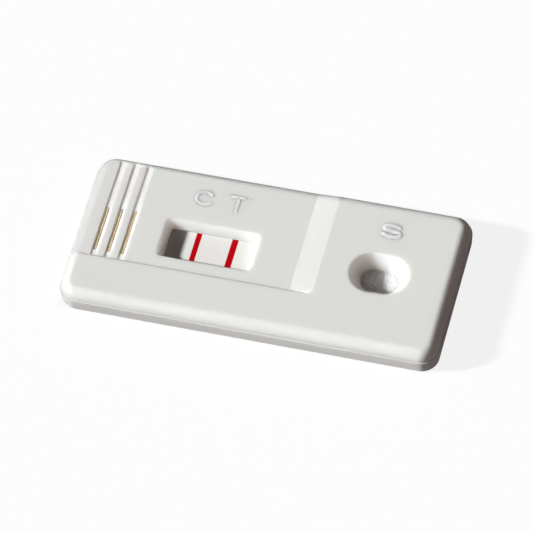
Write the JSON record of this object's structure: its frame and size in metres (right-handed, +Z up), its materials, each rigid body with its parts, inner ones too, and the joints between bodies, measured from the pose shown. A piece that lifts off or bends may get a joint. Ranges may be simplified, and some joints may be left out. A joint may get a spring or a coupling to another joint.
{
  "type": "lateral flow test cassette",
  "caption": "Slim two-shell plastic test cassette with a sloped reading window over a test strip, an oval sample well and a grooved grip with vent slots.",
  "frame": {"origin": "centre of the base, at the height of the surface that the cassette lies on", "axes": "+X along the length from the finger grip to the sample well, +Y from front to back, +Z up out of the reading face"},
  "size_m": [0.07, 0.0316, 0.0051],
  "materials": {
    "top_shell": "fine satin moulded polystyrene, warm white",
    "bottom_shell": "fine satin moulded polystyrene, warm white",
    "backing_card": "smooth thin polystyrene card",
    "membrane": "fine matt nitrocellulose film",
    "red_line": "dark red stain in the matt membrane",
    "conjugate_pad": "dusty pink glass fibre mat",
    "sample_pad": "white fibrous pad",
    "absorbent_pad": "tan absorbent pulp pad"
  },
  "bodies": {
    "root": {"top_shell": "top_shell", "bottom_shell": "bottom_shell", "backing_card": "backing_card", "membrane": "membrane", "control_line": "red_line", "test_line": "red_line", "conjugate_pad": "conjugate_pad", "sample_pad": "sample_pad", "absorbent_pad": "absorbent_pad"}
  },
  "joints": []
}
